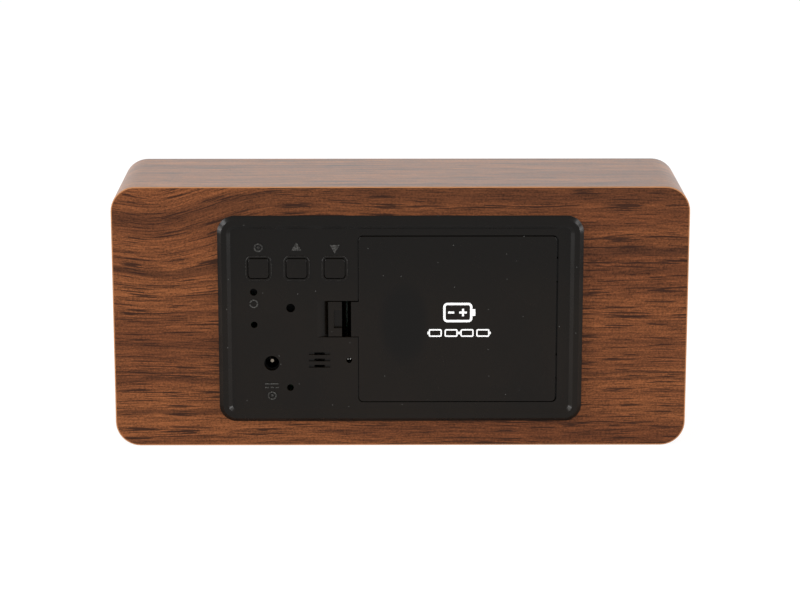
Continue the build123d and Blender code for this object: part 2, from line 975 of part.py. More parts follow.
# Sprung tongue of the latch, from the middle of the bend up to the thumb pad
with BuildPart() as cover_latch:
    with BuildSketch(Plane.XY.offset(latch_z - latch_tongue_height / 2)):
        with Locations((latch_axis_x, y_bend)):
            draw_ring(latch_bend_outer, latch_leg)
        with Locations((latch_axis_x + latch_hinge_gap, y_bend)):
            Rectangle(latch_bend_outer, latch_bend_outer, align=(Align.MIN, Align.MAX), mode=Mode.INTERSECT)
        Polygon(
            (latch_tongue_x, y_bend),
            (latch_tongue_x + latch_leg, y_bend),
            (latch_tongue_x + latch_leg, y_field - latch_barb_depth),
            (latch_slot_x - latch_pad_gap, y_field - latch_pad_depth),
            (latch_slot_x - latch_pad_gap, y_field + latch_proud),
            (latch_tongue_x, y_field + latch_proud),
            align=None,
        )
    extrude(amount=latch_tongue_height)
    block(
        y_rim,
        y_rim - y_field + latch_notch_depth,
        2 * latch_notch_reach,
        latch_notch_height,
        x=latch_tongue_x,
        z=latch_z,
        mode=Mode.SUBTRACT,
    )

# Cells, contact plates and coil springs
cells = []
for height, way in zip(cell_heights, cell_ways):
    nub_end_x = cover_mid_x + way * (tub_length / 2 - contact_thickness)
    with BuildPart() as cell:
        inward = (Align.MAX if way > 0 else Align.MIN, Align.MIN)
        with BuildSketch(Plane.XY.offset(height)):
            with Locations((nub_end_x, y_cell)):
                Rectangle(nub_height, nub_radius, align=inward)
            with Locations((nub_end_x - way * nub_height, y_cell)):
                Rectangle(cell_length - nub_height, cell_diameter / 2, align=inward)
        revolve(axis=Axis((nub_end_x, y_cell, height), (1, 0, 0)))
        fillet(edges().filter_by(GeomType.CIRCLE).group_by(Axis.X)[-1 if way > 0 else 0], nub_round)
        fillet(edges().filter_by(GeomType.CIRCLE).group_by(SortBy.RADIUS)[-1], cell_end_round)
    cells.append(cell)

plate_mid_y = y_floor + contact_lift + contact_height / 2


def draw_contact(heights):
    """Contact plate that spans the cells at the given heights, in an open sketch square to X."""
    span = heights[-1] - heights[0] + contact_width
    with Locations((plate_mid_y, (heights[0] + heights[-1]) / 2)):
        RectangleRounded(contact_height, span, contact_corner)


with BuildPart() as contact_plates:
    with BuildSketch(Plane.YZ.offset(cover_mid_x - tub_length / 2)):
        draw_contact(cell_heights[0:2])
        draw_contact(cell_heights[2:4])
    extrude(amount=contact_thickness)
    with BuildSketch(Plane.YZ.offset(tub_end_x - contact_thickness)):
        draw_contact(cell_heights[0:1])
        draw_contact(cell_heights[1:3])
        draw_contact(cell_heights[3:4])
        for height in (cell_heights[0], cell_heights[-1]):
            with Locations((plate_mid_y, height)):
                Rectangle(
                    plate_mid_y - y_tub + contact_tail_reach,
                    contact_tail_width,
                    align=(Align.MAX, Align.CENTER),
                )
    extrude(amount=contact_thickness)

# Coil springs: a cone of turns, each half turn of two arcs that are tangent to each other
coil_height = spring_length - spring_wire - 2 * spring_seat
coil_angle = 2 * pi * spring_turns
coil_narrowing = (spring_tip_radius - spring_base_radius) / coil_angle
coil_spans = round(2 * spring_turns)


def coil_station(share, foot, way):
    """Middle of the wire at a share of the turns from the foot, and the direction that it runs in there."""
    angle = share * coil_angle
    radius = spring_base_radius + coil_narrowing * angle
    place = foot + Vector(way * coil_height * share, radius * cos(angle), radius * sin(angle))
    heading = Vector(
        way * coil_height / coil_angle,
        coil_narrowing * cos(angle) - radius * sin(angle),
        coil_narrowing * sin(angle) + radius * cos(angle),
    )
    return place, heading.normalized()


def draw_biarc(start, start_way, end, end_way):
    """Two arcs from start to end, in the open line, tangent to both directions and to each other."""
    reach = end - start
    along = reach.dot(start_way + end_way)
    closing = 2 * (1 - start_way.dot(end_way))
    arm = (sqrt(along**2 + closing * reach.dot(reach)) - along) / closing
    middle = (start + end + (start_way - end_way) * arm) / 2
    TangentArc(start, middle, tangent=start_way)
    TangentArc(middle, end, tangent=end - end_way * arm - start - start_way * arm)


with BuildPart() as battery_springs:
    for height, way in zip(cell_heights, cell_ways):
        plate_x = cover_mid_x - way * (tub_length / 2 - contact_thickness)
        foot = Vector(plate_x + way * (spring_seat + spring_wire / 2), y_cell, height)
        stations = [coil_station(span / coil_spans, foot, way) for span in range(coil_spans + 1)]
        with BuildLine() as coil:
            for (near, near_way), (far, far_way) in zip(stations, stations[1:]):
                draw_biarc(near, near_way, far, far_way)
        with BuildSketch(Plane(stations[0][0], z_dir=stations[0][1])):
            Circle(spring_wire / 2)
        sweep(path=coil.line)

# Least gap of a spring to itself, between points that lie more than a share of a turn apart
coil_steps = 240
coil_apart_steps = round(coil_steps / spring_turns * coil_apart_share)
coil_points = [coil_station(step / coil_steps, Vector(), 1)[0] for step in range(coil_steps + 1)]
coil_gap = min(
    (far - near).length - spring_wire
    for step, near in enumerate(coil_points)
    for far in coil_points[step + coil_apart_steps :]
)
print(f"battery spring: least gap to itself {coil_gap:.3f} mm")

# Control board with its screws
with BuildPart() as control_board:
    block(
        y_control,
        board_thickness,
        board_width,
        board_height,
        x=board_mid_x,
        z=panel_mid_z,
        corner=board_corner,
    )
    rods(
        y_control + overrun,
        board_thickness + 2 * overrun,
        small_screw_radius + screw_pass_gap,
        board_screw_places,
        mode=Mode.SUBTRACT,
    )

with BuildPart() as control_screws:
    pan_screws(
        y_control_front,
        -1,
        board_screw_places,
        small_head_radius,
        small_head_height,
        small_screw_radius,
        small_screw_length,
    )

# Keys with their flanges and stems, and the switches that they press
y_key = y_field + key_proud
y_flange = y_under - key_flange_gap
y_switch = y_control + switch_height
y_plunger = y_switch + plunger_rise
flange_spread = 2 * (key_gap + key_flange_lip)
bore_cut = plunger_bore_depth + overrun
key_buttons = {}
key_plungers = {}
key_switches = {}
for name, (x, z) in key_places.items():
    with BuildPart() as button:
        block(y_key, y_key - y_flange, key_width, key_height, x=x, z=z, corner=key_corner)
        fillet(faces().sort_by(Axis.Y)[-1].edges(), key_edge_round)
        block(
            y_flange,
            key_flange,
            key_width + flange_spread,
            key_height + flange_spread,
            x=x,
            z=z,
            corner=key_corner,
        )
        rods(y_flange - key_flange, y_flange - key_flange - y_plunger, key_stem_radius, [(x, z)])
    key_buttons[name] = button
    with BuildPart() as plunger:
        rods(y_plunger, plunger_rise + plunger_foot, plunger_radius, [(x, z)])
    key_plungers[name] = plunger
    with BuildPart() as switch:
        block(y_switch, switch_height, switch_width, switch_width, x=x, z=z, corner=switch_corner)
        rods(y_switch + overrun, bore_cut, plunger_radius + plunger_bore_gap, [(x, z)], mode=Mode.SUBTRACT)
    key_switches[name] = switch

y_reset = y_switch + reset_plunger_rise
with BuildPart() as reset_plunger:
    rods(y_reset, reset_plunger_rise + plunger_foot, reset_plunger_radius, [reset_place])

with BuildPart() as reset_switch:
    block(
        y_switch,
        switch_height,
        switch_width,
        reset_switch_height,
        x=reset_place[0],
        z=reset_place[1],
        corner=switch_corner,
    )
    reset_bore_radius = reset_plunger_radius + plunger_bore_gap
    rods(y_switch + overrun, bore_cut, reset_bore_radius, [reset_place], mode=Mode.SUBTRACT)

# Power socket: body with a round mouth, centre pin and a springy contact at its side
y_jack = y_under - jack_top_gap
y_jack_floor = y_control + jack_bore_floor
jack_contact_x = jack_place[0] + jack_bore + jack_contact_gap
with BuildPart() as power_socket:
    block(y_jack, y_jack - y_control, jack_width, jack_height, x=jack_place[0], z=jack_place[1])
    fillet(edges().filter_by(Axis.Y), jack_edge_round)
    rods(y_jack + overrun, y_jack + overrun - y_jack_floor, jack_bore, [jack_place], mode=Mode.SUBTRACT)
    block(
        y_jack - jack_contact_drop + jack_contact_gap,
        y_jack - jack_contact_drop + jack_contact_gap - y_jack_floor,
        jack_width,
        jack_contact_width + 2 * jack_contact_gap,
        x=jack_place[0] + jack_width / 2,
        z=jack_place[1],
        mode=Mode.SUBTRACT,
    )

with BuildPart() as socket_pin:
    rods(y_jack - jack_pin_drop, y_jack - jack_pin_drop - y_jack_floor, jack_pin_radius, [jack_place])
    fillet(edges().group_by(Axis.Y)[-1], jack_pin_round)

with BuildPart() as socket_contact:
    block(
        y_jack - jack_contact_drop,
        y_jack - jack_contact_drop - y_jack_floor,
        jack_contact_thickness,
        jack_contact_width,
        x=jack_contact_x + jack_contact_thickness / 2,
        z=jack_place[1],
    )

# Buzzer behind the louvres, microphone and temperature sensor behind their holes
with BuildPart() as buzzer:
    rods(y_control + buzzer_height, buzzer_height, buzzer_radius, [louvre_mid])
    fillet(edges().group_by(Axis.Y)[-1], buzzer_round)
    rods(
        y_control + buzzer_height + overrun,
        buzzer_port_depth + overrun,
        buzzer_port,
        [louvre_mid],
        mode=Mode.SUBTRACT,
    )

y_microphone = y_under - microphone_top_gap
with BuildPart() as microphone:
    rods(y_microphone, microphone_body, microphone_radius, [microphone_place])
    with BuildSketch(facing(y_microphone - microphone_body)):
        with Locations(microphone_place):
            with GridLocations(microphone_leg_spacing, 0, 2, 1):
                Circle(microphone_leg_radius)
    extrude(amount=y_microphone - microphone_body - y_control)

y_bead = y_under - bead_drop
with BuildPart() as sensor_bead:
    rods(y_bead, bead_length, bead_radius, [sensor_place])
    fillet(edges().filter_by(GeomType.CIRCLE), bead_round)
    with BuildSketch(facing(y_bead + overrun)):
        with Locations(sensor_place):
            with GridLocations(sensor_leg_spacing, 0, 2, 1):
                Circle(sensor_leg_radius)
    extrude(amount=bead_length + 2 * overrun, mode=Mode.SUBTRACT)

y_sensor_tip = y_field - sensor_tip_drop
with BuildPart() as sensor_leads:
    with BuildSketch(facing(y_sensor_tip)):
        with Locations(sensor_place):
            with GridLocations(sensor_leg_spacing, 0, 2, 1):
                Circle(sensor_leg_radius)
    extrude(amount=y_sensor_tip - y_control)
    fillet(edges().group_by(Axis.Y)[-1], sensor_tip_round)

# Parts on the front side of the control board
with BuildPart() as controller_chip:
    block(
        y_control_front,
        controller_thickness,
        controller_width,
        controller_height,
        x=strip_x + controller_from_cover,
        z=panel_mid_z + controller_rise,
    )

with BuildPart() as clock_crystal:
    with BuildSketch(Plane.YZ.offset(strip_x + crystal_from_cover - crystal_length / 2)):
        with Locations((y_control_front - crystal_radius, panel_mid_z + crystal_rise)):
            Circle(crystal_radius)
    extrude(amount=crystal_length)
    fillet(edges().filter_by(GeomType.CIRCLE), crystal_round)

with BuildPart() as filter_capacitor:
    rods(
        y_control_front,
        capacitor_length,
        capacitor_radius,
        [(strip_x + capacitor_from_cover, panel_mid_z + capacitor_rise)],
    )
    fillet(edges().filter_by(GeomType.CIRCLE), capacitor_round)

# Ribbon between the two boards and the headers that it plugs into
with BuildPart() as display_header:
    block(
        y_led_board_back + header_length,
        header_length,
        header_width,
        header_height,
        x=header_mid[0],
        z=header_mid[1],
    )

with BuildPart() as control_header:
    block(
        y_control_front,
        header_length,
        header_width,
        header_height,
        x=control_header_mid[0],
        z=control_header_mid[1],
    )

y_ribbon = y_led_board_back + header_length
y_ribbon_turn = y_ribbon + ribbon_room / 2
with BuildPart() as ribbon_cable:
    with BuildSketch(Plane.YZ.offset(header_mid[0] - ribbon_width / 2)):
        with BuildLine() as ribbon_path:
            FilletPolyline(
                (y_ribbon, header_mid[1]),
                (y_ribbon_turn, header_mid[1]),
                (y_ribbon_turn, control_header_mid[1]),
                (y_ribbon + ribbon_room, control_header_mid[1]),
                radius=ribbon_bend,
            )
        trace(ribbon_path.line, line_width=ribbon_thickness)
    extrude(amount=ribbon_width)

# Leads from the two end contacts to the control board
leads = []
lead_x = tub_end_x + lead_radius + lead_start_gap
y_lead = y_tub - contact_tail_reach / 2
for height in (cell_heights[0], cell_heights[-1]):
    with BuildPart() as lead:
        with BuildLine(Plane.XY.offset(height)) as lead_path:
            FilletPolyline(
                (lead_x, y_lead),
                (lead_x + lead_slope, y_lead - lead_drop),
                (lead_x + lead_slope + lead_run, y_lead - lead_drop),
                (lead_x + lead_slope + lead_run + lead_landing, y_control_front - lead_radius),
                radius=lead_bends,
            )
        with BuildSketch(Plane(lead_path.line @ 0, z_dir=lead_path.line % 0)):
            Circle(lead_radius)
        sweep()
    leads.append(lead)

# Every piece under its own name
pieces = {
    "case_core": case_core,
    "side_wrap": side_wrap,
    "rear_veneer": rear_veneer,
    "front_veneer": front_veneer,
    "lit_digits": lit_digits,
    "display_reflector": display_reflector,
    "segment_lenses": segment_lenses,
    "segment_leds": segment_leds,
    "display_board": display_board,
    "display_driver": display_driver,
    "display_screws": display_screws,
    "display_chassis": display_chassis,
    "chassis_screws": chassis_screws,
    "rear_panel": rear_panel,
    "panel_screws": panel_screws,
    "battery_cover": battery_cover,
    "cover_latch": cover_latch,
    "contact_plates": contact_plates,
    "battery_springs": battery_springs,
    "negative_lead": leads[0],
    "positive_lead": leads[-1],
    "control_board": control_board,
    "control_screws": control_screws,
    "reset_plunger": reset_plunger,
    "reset_switch": reset_switch,
    "power_socket": power_socket,
    "socket_pin": socket_pin,
    "socket_contact": socket_contact,
    "buzzer": buzzer,
    "microphone": microphone,
    "sensor_bead": sensor_bead,
    "sensor_leads": sensor_leads,
    "controller_chip": controller_chip,
    "clock_crystal": clock_crystal,
    "filter_capacitor": filter_capacitor,
    "display_header": display_header,
    "control_header": control_header,
    "ribbon_cable": ribbon_cable,
}
for number, cell in enumerate(cells, start=1):
    pieces[f"aaa_cell_{number}"] = cell
for name in key_places:
    pieces[f"{name}_button"] = key_buttons[name]
    pieces[f"{name}_plunger"] = key_plungers[name]
    pieces[f"{name}_switch"] = key_switches[name]

os.makedirs("parts", exist_ok=True)
for name, piece in pieces.items():
    piece.part.label = name
    export_step(piece.part, f"parts/{name}.step")
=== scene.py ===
# %% [markdown]
# This lesson dresses a small digital clock in a walnut-look box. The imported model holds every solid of
# the clock in metres: X is the width, Y runs from the display to the rear panel, Z is up. The solids
# stay as they are. The lesson makes their finishes, the white print on the battery cover, and a studio.

# %% Load the clock
import math

import bpy
import numpy as np
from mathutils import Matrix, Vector


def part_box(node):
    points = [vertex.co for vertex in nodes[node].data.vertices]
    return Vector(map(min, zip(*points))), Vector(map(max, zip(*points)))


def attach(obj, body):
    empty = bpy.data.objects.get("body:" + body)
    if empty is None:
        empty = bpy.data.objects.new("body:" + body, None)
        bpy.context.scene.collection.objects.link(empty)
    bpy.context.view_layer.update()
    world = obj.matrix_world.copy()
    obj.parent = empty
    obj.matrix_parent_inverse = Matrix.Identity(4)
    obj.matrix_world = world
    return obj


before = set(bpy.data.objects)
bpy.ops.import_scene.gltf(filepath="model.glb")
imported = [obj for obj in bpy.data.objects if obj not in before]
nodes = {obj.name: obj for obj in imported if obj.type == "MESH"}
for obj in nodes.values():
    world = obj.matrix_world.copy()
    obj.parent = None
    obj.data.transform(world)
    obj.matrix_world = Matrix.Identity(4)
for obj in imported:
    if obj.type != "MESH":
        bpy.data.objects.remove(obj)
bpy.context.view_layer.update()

# %% [markdown]
# The camera stands behind the clock, a long way off and a little above it. A long lens at that distance
# gives the nearly parallel edges of a product picture. A camera looks along its own -Z, so a direction
# becomes a rotation with to_track_quat.

# %% Camera
camera_place = Vector((0.00332, 0.69756, 0.20234))
camera_aim = Vector((-0.00457, -0.97215, -0.23430))
sensor_width = 36.0
focal_length = 120.36
camera = bpy.data.objects.new("camera", bpy.data.cameras.new("camera"))
bpy.context.scene.collection.objects.link(camera)
camera.location = camera_place
camera.rotation_mode = "QUATERNION"
camera.rotation_quaternion = camera_aim.to_track_quat("-Z", "Y")
camera.data.sensor_width = sensor_width
camera.data.lens = focal_length
camera.data.clip_start = 0.01
bpy.context.scene.camera = camera
print("camera looks down by", round(math.degrees(math.asin(-camera_aim.normalized().z)), 2), "degrees")

# %% [markdown]
# A finish is a small program written in nodes. Nodes are slow to read as code, so one class wraps a
# socket and gives it arithmetic: an expression such as 1 - mask * 0.3 then adds its own Math nodes. Any
# other node comes from the method node.


# %% Sockets with arithmetic
class Wire:
    """A socket of a material's node tree. Arithmetic on wires adds Math nodes; node() adds any other."""

    def __init__(self, tree, socket=None):
        self.tree = tree
        self.socket = socket

    def node(self, kind, settings=None, inputs=None, output=0):
        """A node of the given type: its settings are set first, then its inputs get values or wires."""
        made = self.tree.nodes.new(kind)
        for name, value in (settings or {}).items():
            setattr(made, name, value)
        for name, value in (inputs or {}).items():
            if isinstance(value, Wire):
                self.tree.links.new(value.socket, made.inputs[name])
            else:
                made.inputs[name].default_value = value
        return Wire(self.tree, made.outputs[output])

    def math(self, operation, *values):
        """A Math node; each value is a wire or a number."""
        return self.node("ShaderNodeMath", {"operation": operation}, dict(enumerate(values)))

    def __add__(self, other):
        return self.math("ADD", self, other)

    def __radd__(self, other):
        return self.math("ADD", other, self)

    def __sub__(self, other):
        return self.math("SUBTRACT", self, other)

    def __rsub__(self, other):
        return self.math("SUBTRACT", other, self)

    def __mul__(self, other):
        return self.math("MULTIPLY", self, other)

    def __rmul__(self, other):
        return self.math("MULTIPLY", other, self)

    def __abs__(self):
        return self.math("ABSOLUTE", self)


print("wires know + - * and abs")

# %% [markdown]
# A few more words cover most patterns. step rises softly from 0 to 1 between two values, which makes
# masks with soft edges. mix goes from one colour to another, and shade multiplies a colour by a value.
# noise gives a cloudy value, and it is stretched by giving each direction its own frequency. ellipse and
# bar are masks of plain shapes.


# %% Words for patterns
def step(value, low, high):
    """0 below low and 1 above high, with a smooth rise between them."""
    span = {"From Min": min(low, high), "From Max": max(low, high)}
    rise = {"To Min": 0.0 if low < high else 1.0, "To Max": 1.0 if low < high else 0.0}
    settings = {"interpolation_type": "SMOOTHSTEP"}
    return value.node("ShaderNodeMapRange", settings, {"Value": value, **span, **rise})


def mix(factor, first, second):
    """The first colour where the factor is 0 and the second where it is 1."""
    colours = [c if isinstance(c, Wire) else (*c, 1.0) for c in (first, second)]
    inputs = {"Factor": factor, 6: colours[0], 7: colours[1]}
    return factor.node("ShaderNodeMix", {"data_type": "RGBA"}, inputs, output=2)


def shade(colour, factor):
    """The colour times a value."""
    grey = factor.node("ShaderNodeCombineXYZ", None, {"X": factor, "Y": factor, "Z": factor})
    return factor.node("ShaderNodeVectorMath", {"operation": "MULTIPLY"}, {0: colour, 1: grey})


def noise(x, y, z, frequencies, detail=2.0, roughness=0.5, seed=0.0):
    """Cloudy value about 0.5, with a frequency for each direction, in cycles per millimetre."""
    axes = [value * rate for value, rate in zip((x, y, z), frequencies)]
    place = x.node("ShaderNodeCombineXYZ", None, {"X": axes[0] + seed, "Y": axes[1], "Z": axes[2]})
    inputs = {"Vector": place, "Scale": 1.0, "Detail": detail, "Roughness": roughness}
    return x.node("ShaderNodeTexNoise", None, inputs)


def ellipse(x, z, middle, half_width, half_height, edge=0.15):
    """1 inside an ellipse with a level and an upright axis, and 0 outside it."""
    across = (x - middle[0]) * (1 / half_width)
    up = (z - middle[1]) * (1 / half_height)
    return step(across * across + up * up, 1.0 + edge, 1.0 - edge)


def bar(x, z, middle, half_width, half_height, edge=0.06):
    """1 inside a level rectangle and 0 outside it."""
    inside_x = step(abs(x - middle[0]), half_width + edge, half_width - edge)
    inside_z = step(abs(z - middle[1]), half_height + edge, half_height - edge)
    return inside_x * inside_z


print("patterns are measured in millimetres")

# %% [markdown]
# Every finish starts the same way: a Principled shader, with the values that are the same all over the
# surface on its own sockets, and the place of each point in millimetres, split into x, y and z.


# %% Start and close a finish
def start_finish(name, **constants):
    """A material, its shader and the wires x, y and z, in millimetres."""
    material = bpy.data.materials.new(name)
    material.use_nodes = True
    tree = material.node_tree
    shader = tree.nodes["Principled BSDF"]
    for socket, value in constants.items():
        shader.inputs[socket.replace("_", " ")].default_value = value
    start = Wire(tree)
    place = start.node("ShaderNodeTexCoord", output="Object")
    scaled = start.node("ShaderNodeVectorMath", {"operation": "SCALE"}, {0: place, "Scale": 1000.0})
    x, y, z = (start.node("ShaderNodeSeparateXYZ", None, {0: scaled}, output=axis) for axis in "XYZ")
    return material, shader, x, y, z


def close_finish(shader, colour=None, roughness=None, height=None, depth=0.0, **others):
    """Links the wires that change over the surface; height is in depths and becomes a bump."""
    tree = shader.id_data
    links = {"Base Color": colour, "Roughness": roughness}
    links.update({socket.replace("_", " "): wire for socket, wire in others.items()})
    for socket, wire in links.items():
        if wire is not None:
            tree.links.new(wire.socket, shader.inputs[socket])
    if height is not None:
        inputs = {"Height": height, "Distance": depth / 1000, "Strength": 1.0}
        bump = height.node("ShaderNodeBump", None, inputs)
        tree.links.new(bump.socket, shader.inputs["Normal"])


def box_mm(name):
    """Lowest and highest corners of a node's box, in millimetres."""
    return [1000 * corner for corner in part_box(name)]


dressed = set()


def dress(material, *names):
    """Puts the material in every slot of the named pieces."""
    for name in names:
        slots = nodes[name].data.materials
        if not slots:
            slots.append(material)
        for index in range(len(slots)):
            slots[index] = material
        dressed.add(name)


print("finishes are closed with their wires, and each piece is dressed in one")

# %% [markdown]
# The case is fibreboard in a printed walnut film. The print has broad soft bands, narrow dark lines,
# fine fibres and short dark pores, all stretched along the grain. Each layer is a noise with a low
# frequency along the grain and a high one across it. On the back, the lines dip and climb again near
# one end, as they do where a board was cut beside a knot, so the height of each point is bent first.


# %% Walnut film
walnut_dark = (0.020, 0.0075, 0.0040)
walnut_deep = (0.052, 0.0165, 0.0066)
walnut_middle = (0.120, 0.0375, 0.0130)
walnut_light = (0.205, 0.0680, 0.0225)


def walnut_grain(along, beside, across, seed, light, lines=(), ink=0.88):
    """Colour, fibre pattern and pores of the film, from places along and across its grain.

    A dark growth line is 1 at its height and falls to 0 at its half width; lines holds the height, half
    width and strength of each. Ink is how strongly the pores are printed.
    """

    def layer(low, high, **options):
        return noise(along, beside, across, (low, low, high), seed=seed, **options)

    broad = step(layer(0.010, 0.085, detail=2.0), 0.30, 0.70)
    bands = step(layer(0.014, 0.40, detail=3.0, roughness=0.6), 0.46, 0.74)
    fibres = layer(0.09, 1.9, detail=4.0, roughness=0.9)
    pore_field = layer(0.095, 3.0, detail=2.0, roughness=0.5)
    pore_share = layer(0.014, 0.62, detail=3.0)
    pores = step(pore_field - (pore_share - 0.5) * 0.60, 0.56, 0.62)
    speckle = noise(along, beside, across, (1.6, 1.6, 2.4), detail=2.0, roughness=0.8, seed=seed + 5)
    colour = mix(broad, walnut_middle, walnut_light)
    colour = mix(bands * 0.75, colour, walnut_deep)
    for height, half_width, strength in lines:
        rift = step(abs(across + (fibres - 0.5) * 1.2 - height), half_width, half_width * 0.2)
        colour = mix(rift * (pore_share + 0.35) * strength, colour, walnut_dark)
    colour = shade(colour, (fibres * 3.3 + speckle * 2.2 - 1.80) * light)
    colour = mix(pores * ink, colour, walnut_dark)
    return colour, fibres, pores


def film_finish(name, bend=0.0, wrapped=False, seed=0.0, light=1.0, lines=(), **constants):
    """Printed film. Wrapped film has its grain round the case; flat film has it along the width.

    Flat film is the same at every depth. The bend lifts its upper grain, all but a stretch near its +X
    end, where the lines dip.
    """
    material, shader, x, y, z = start_finish(name, **constants)
    wander = noise(x, y, z, (0.018, 0.0, 0.03), detail=1.0, seed=seed + 40) - 0.5
    if wrapped:
        colour, fibres, pores = walnut_grain(x, z, y + wander * 3.0, seed, light, ink=0.85)
    else:
        lift = step(z, 30.0, 60.0) * step(x, 68.0, 30.0) * bend
        end_lift = step(x, 60.0, 78.0) * step(z, 30.0, 50.0) * (bend * 0.25)
        bent = z + wander * 4.0 - lift - end_lift
        colour, fibres, pores = walnut_grain(x, 0.0, bent, seed, light, lines)
    return material, shader, (x, y, z), colour, fibres, pores


def close_film(shader, colour, fibres, pores, gloss=0.44, swing=0.10, depth=0.02, **others):
    """Closes a film: fibres dull it by the swing and stand up from it, and pores are pressed into it."""
    relief = pores * -0.5 + fibres * 0.25
    close_finish(shader, colour, gloss + fibres * swing, relief, depth, **others)


wrap_low, wrap_high = box_mm("side_wrap")
film_middle_y = (wrap_low.y + wrap_high.y) / 2
film_half_depth = (wrap_high.y - wrap_low.y) / 2
print("the film round the case is", round(2 * film_half_depth, 2), "mm deep")

# %% [markdown]
# The wrapped film is tinted a little towards yellow. Where it ends at the back and the front, its cut
# edge shows as a thin line, paler and more orange than the print. It is a mask on the depth, so it
# follows the edge round all four corners. On the back, each growth line has a height, a half width and
# a strength.

# %% Film on the case
wrap_tint = (0.94, 1.02, 0.78)
cut_edge_colour = (0.43, 0.185, 0.066)
wrap, shader, (x, y, z), colour, fibres, pores = film_finish(
    "walnut_wrap", wrapped=True, seed=3.0, light=1.27, Specular_IOR_Level=0.52
)
colour = colour.node("ShaderNodeVectorMath", {"operation": "MULTIPLY"}, {0: colour, 1: wrap_tint})
cut_edge = step(abs(y - film_middle_y), film_half_depth - 0.13, film_half_depth - 0.03)
colour = mix(cut_edge * 0.85, colour, cut_edge_colour)
close_film(shader, colour, fibres, pores, gloss=0.27, swing=0.12, depth=0.015)
dress(wrap, "side_wrap")

back_lines = [(60.5, 4.0, 0.48), (56.3, 1.3, 0.30), (51.5, 0.8, 0.20), (46.4, 1.5, 0.60), (42.9, 0.9, 0.30)]
back_lines += [(34.5, 0.7, 0.25), (27.8, 0.8, 0.35), (19.2, 0.5, 0.60), (17.4, 0.5, 0.50), (9.0, 0.8, 0.30)]
back, shader, _, colour, fibres, pores = film_finish(
    "walnut_back", bend=7.0, seed=11.0, light=0.95, lines=back_lines, Specular_IOR_Level=0.11
)
close_film(shader, colour, fibres, pores)
dress(back, "rear_veneer")
print("film on", sorted(dressed))

# %% [markdown]
# The front is the same film, thin enough for the figures behind it to shine through. The lit places
# keep the grain of the film round them, because both finishes read the same pattern. A faint glow
# spreads into the film beside them, and fades out 5 mm beyond the box round them.

# %% Front film and its glowing figures
glow_colour = (1.0, 0.93, 0.80)
glow_in_grain = (0.72, 0.44, 0.24)
front_settings = {"seed": 23.0, "Specular_IOR_Level": 0.14}
figures_low, figures_high = box_mm("lit_digits")
figures_middle = (figures_low + figures_high) / 2
figures_half = (figures_high - figures_low) / 2

front, shader, (x, y, z), colour, fibres, pores = film_finish(
    "walnut_front", Emission_Strength=1.0, **front_settings
)
beside_x = step(abs(x - figures_middle.x) - figures_half.x, 5.0, -4.0)
beside_z = step(abs(z - figures_middle.z) - figures_half.z, 5.0, -4.0)
glow = shade(mix(fibres * 0.5, glow_colour, walnut_light), beside_x * beside_z * 0.09)
close_film(shader, colour, fibres, pores, Emission_Color=glow)
dress(front, "front_veneer")

lit, shader, _, colour, fibres, pores = film_finish(
    "glowing_figures", Emission_Strength=0.88, **front_settings
)
light = mix(step(fibres, 0.70, 0.30) * 0.45 + pores * 0.40, glow_colour, glow_in_grain)
close_finish(shader, colour, 0.44 + fibres * 0.10, Emission_Color=light)
dress(lit, "lit_digits")
print("figures are", round(2 * figures_half.z, 1), "mm high")

# %% [markdown]
# The rear panel, battery cover, latch and keys are moulded in black. Such plastic is never one flat
# colour: the mould leaves a fine grain, handling leaves soft patches that are a little shinier or
# duller, and a few specks of dust lie on it. The upper part is painted a little darker, as painted
# shade. The tops of the panel's raised marks, and the edges of the key frames at their height, are
# painted paler, as painted highlights that stand in for glints.


# %% Black mouldings
dull_shares = (0.7, 0.4, 0.15)
pale_shares = (2.3, 1.3, 0.6)
dust_colour = (0.20, 0.20, 0.19)
# Colour of the painted highlights on the tops of the panel's raised marks.
painted_glint_colour = (0.062, 0.060, 0.056)
marks_below_rim = 0.55
specks_per_mm = 0.22


def moulded_black(name, tone=0.0030, gloss=0.27, dust=0.5):
    """Satin black plastic with soft patches, fine grain and a little dust.

    The tone is the reflectance that the shares of red, green and blue multiply.
    """
    material, shader, x, y, z = start_finish(name, Specular_IOR_Level=0.165)
    patches = noise(x, y, z, (0.06, 0.06, 0.06), detail=3.0, roughness=0.6)
    grain = noise(x, y, z, (5.0, 5.0, 5.0), detail=1.0)
    face = x.node("ShaderNodeCombineXYZ", None, {"X": x, "Y": z})
    cells = ({"voronoi_dimensions": "2D"}, {"Vector": face, "Scale": specks_per_mm})
    nearest = x.node("ShaderNodeTexVoronoi", *cells)
    choice = x.node("ShaderNodeTexVoronoi", *cells, output="Color")
    chosen = step(choice.node("ShaderNodeSeparateXYZ", None, {0: choice}), 0.84, 0.86)
    specks = step(nearest, 0.026, 0.016) * chosen * dust
    dull, pale = ([tone * share for share in shares] for shares in (dull_shares, pale_shares))
    # Painted shade: the pale patches fade out between 34 and 54 mm up, so the upper part of each moulding
    # is darker.
    colour = mix(patches * (1 - step(z, 34.0, 54.0) * 0.95), dull, pale)
    colour = mix(specks, colour, dust_colour)
    roughness = gloss + (patches - 0.5) * 0.22 + specks * 0.4
    return material, shader, (x, y, z), colour, roughness, grain


black, shader, (x, y, z), colour, roughness, grain = moulded_black("panel_black")
mark_tops = box_mm("rear_panel")[1].y - marks_below_rim
# Painted highlight: the tops of the raised marks, and the key frames' rounded edges at that depth, are
# painted paler where glints fall; the glints noise breaks them up.
marks = bar(x, z, (27.0, 33.0), 17.0, 23.0) * step(abs(y - mark_tops), 0.05, 0.03)
glints = step(noise(x, y, z, (3.2, 3.2, 3.2), detail=1.0, seed=8.0), 0.42, 0.60)
colour = mix(marks * (glints * 0.8 + 0.2), colour, painted_glint_colour)
close_finish(shader, colour, roughness, grain, depth=0.004)
dress(black, "rear_panel")

